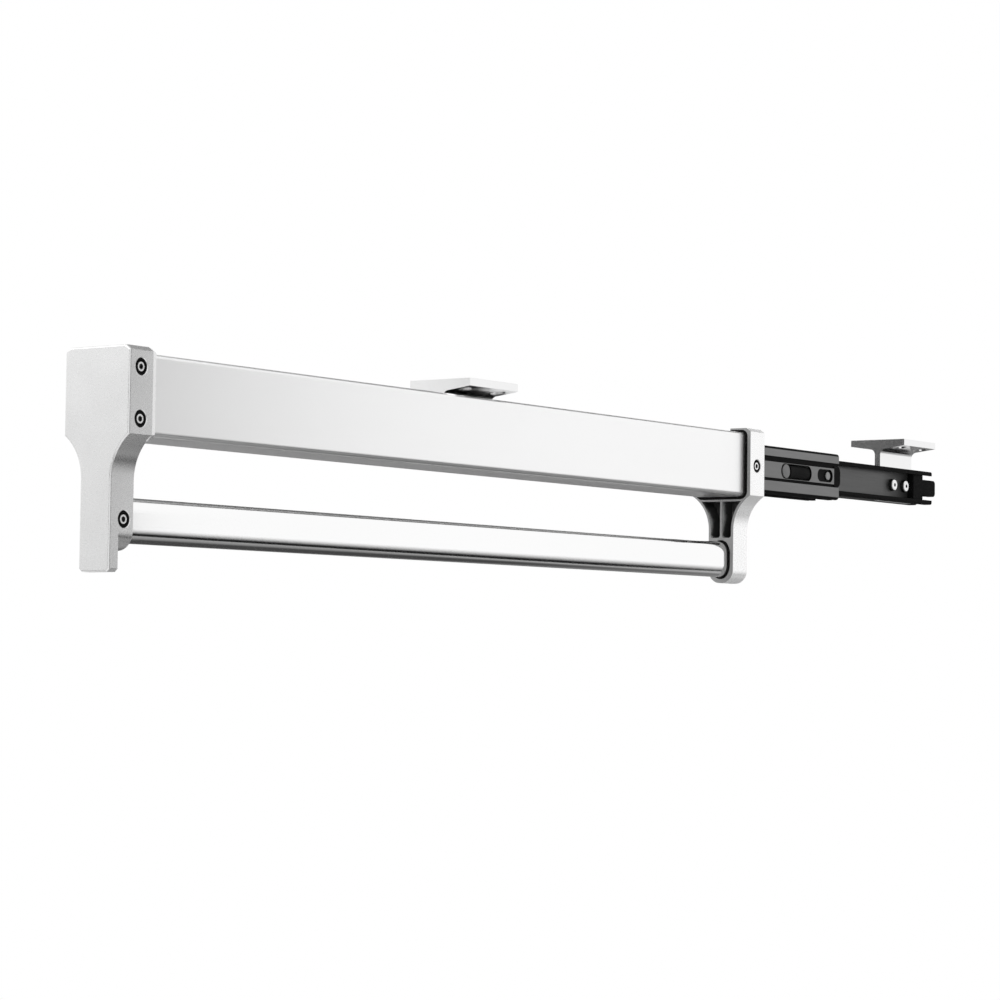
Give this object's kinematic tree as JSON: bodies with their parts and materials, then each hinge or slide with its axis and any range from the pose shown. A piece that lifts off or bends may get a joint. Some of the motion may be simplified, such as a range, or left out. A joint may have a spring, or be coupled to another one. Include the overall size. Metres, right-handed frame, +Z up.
{
  "type": "pull-out clothes rail",
  "caption": "Pull-out clothes rail: a slotted beam and a flat oval hanging bar between two brackets, sliding on ball-bearing channels below top-fixed T hangers.",
  "frame": {"origin": "on the wardrobe top panel's underside, midway between the two hangers, at the centre of their screw holes", "axes": "+Z up towards the panel, +Y back along the rail into the wardrobe, +X to the right seen from the front"},
  "size_m": [0.0404, 0.8036, 0.11],
  "materials": {
    "anodised_beam": "satin clear-anodised extrusion",
    "cast_bracket": "fine satin silver lacquer on a casting",
    "hanger_alloy": "satin clear-anodised extrusion",
    "polished_bar": "bright clear-anodised tube",
    "black_slide_steel": "black coated rolled steel",
    "dark_steel": "dark zinc-plated steel",
    "bright_steel": "bright zinc-plated steel",
    "ball_steel": "polished bearing steel",
    "black_plastic": "black moulded plastic",
    "black_rubber": "black rubber"
  },
  "bodies": {
    "mount": {"front_hanger": "hanger_alloy", "rear_hanger": "hanger_alloy", "channel_bolts": "bright_steel", "channel_nuts": "bright_steel", "fixed_channel_right": "black_slide_steel", "channel_rear_stop_right": "black_rubber", "fixed_channel_left": "black_slide_steel", "channel_rear_stop_left": "black_rubber"},
    "carriage": {"beam": "anodised_beam", "front_bracket": "cast_bracket", "rear_bracket": "cast_bracket", "collar_liner": "black_plastic", "clothes_bar": "polished_bar", "outer_channel_right": "black_slide_steel", "outer_channel_left": "black_slide_steel", "front_bracket_screw_cups": "black_plastic", "front_bracket_screws": "bright_steel", "rear_bracket_screw_cups": "black_plastic", "rear_bracket_screws": "bright_steel", "bar_screw_cups": "black_plastic", "bar_screws": "bright_steel"},
    "middle_right": {"middle_channel_right": "black_slide_steel", "middle_end_bumper_right": "black_rubber", "middle_latch_right": "black_plastic", "middle_latch_disc_right": "dark_steel", "middle_latch_rivet_right": "bright_steel"},
    "middle_left": {"middle_channel_left": "black_slide_steel", "middle_end_bumper_left": "black_rubber", "middle_latch_left": "black_plastic", "middle_latch_disc_left": "dark_steel", "middle_latch_rivet_left": "bright_steel"},
    "inner_cage_right": {"inner_ball_cage_right": "dark_steel", "inner_balls_right": "ball_steel"},
    "outer_cage_right": {"outer_ball_cage_right": "dark_steel", "outer_balls_right": "ball_steel"},
    "inner_cage_left": {"inner_ball_cage_left": "dark_steel", "inner_balls_left": "ball_steel"},
    "outer_cage_left": {"outer_ball_cage_left": "dark_steel", "outer_balls_left": "ball_steel"}
  },
  "joints": [
    {"name": "carriage_slide", "type": "slide", "parent": "mount", "child": "carriage", "axis": [0, -1, 0], "range_m": [-0.24, 0.235]},
    {"name": "middle_slide_right", "type": "slide", "parent": "mount", "child": "middle_right", "axis": [0, -1, 0], "range_m": [-0.12, 0.1175]},
    {"name": "inner_cage_slide_right", "type": "slide", "parent": "mount", "child": "inner_cage_right", "axis": [0, -1, 0], "range_m": [-0.06, 0.05875]},
    {"name": "outer_cage_slide_right", "type": "slide", "parent": "mount", "child": "outer_cage_right", "axis": [0, -1, 0], "range_m": [-0.18, 0.17625]},
    {"name": "middle_slide_left", "type": "slide", "parent": "mount", "child": "middle_left", "axis": [0, -1, 0], "range_m": [-0.12, 0.1175]},
    {"name": "inner_cage_slide_left", "type": "slide", "parent": "mount", "child": "inner_cage_left", "axis": [0, -1, 0], "range_m": [-0.06, 0.05875]},
    {"name": "outer_cage_slide_left", "type": "slide", "parent": "mount", "child": "outer_cage_left", "axis": [0, -1, 0], "range_m": [-0.18, 0.17625]}
  ],
  "couplings": [
    {"joint": "middle_slide_right", "follows": "carriage_slide", "ratio": 0.5},
    {"joint": "inner_cage_slide_right", "follows": "carriage_slide", "ratio": 0.25},
    {"joint": "outer_cage_slide_right", "follows": "carriage_slide", "ratio": 0.75},
    {"joint": "middle_slide_left", "follows": "carriage_slide", "ratio": 0.5},
    {"joint": "inner_cage_slide_left", "follows": "carriage_slide", "ratio": 0.25},
    {"joint": "outer_cage_slide_left", "follows": "carriage_slide", "ratio": 0.75}
  ]
}
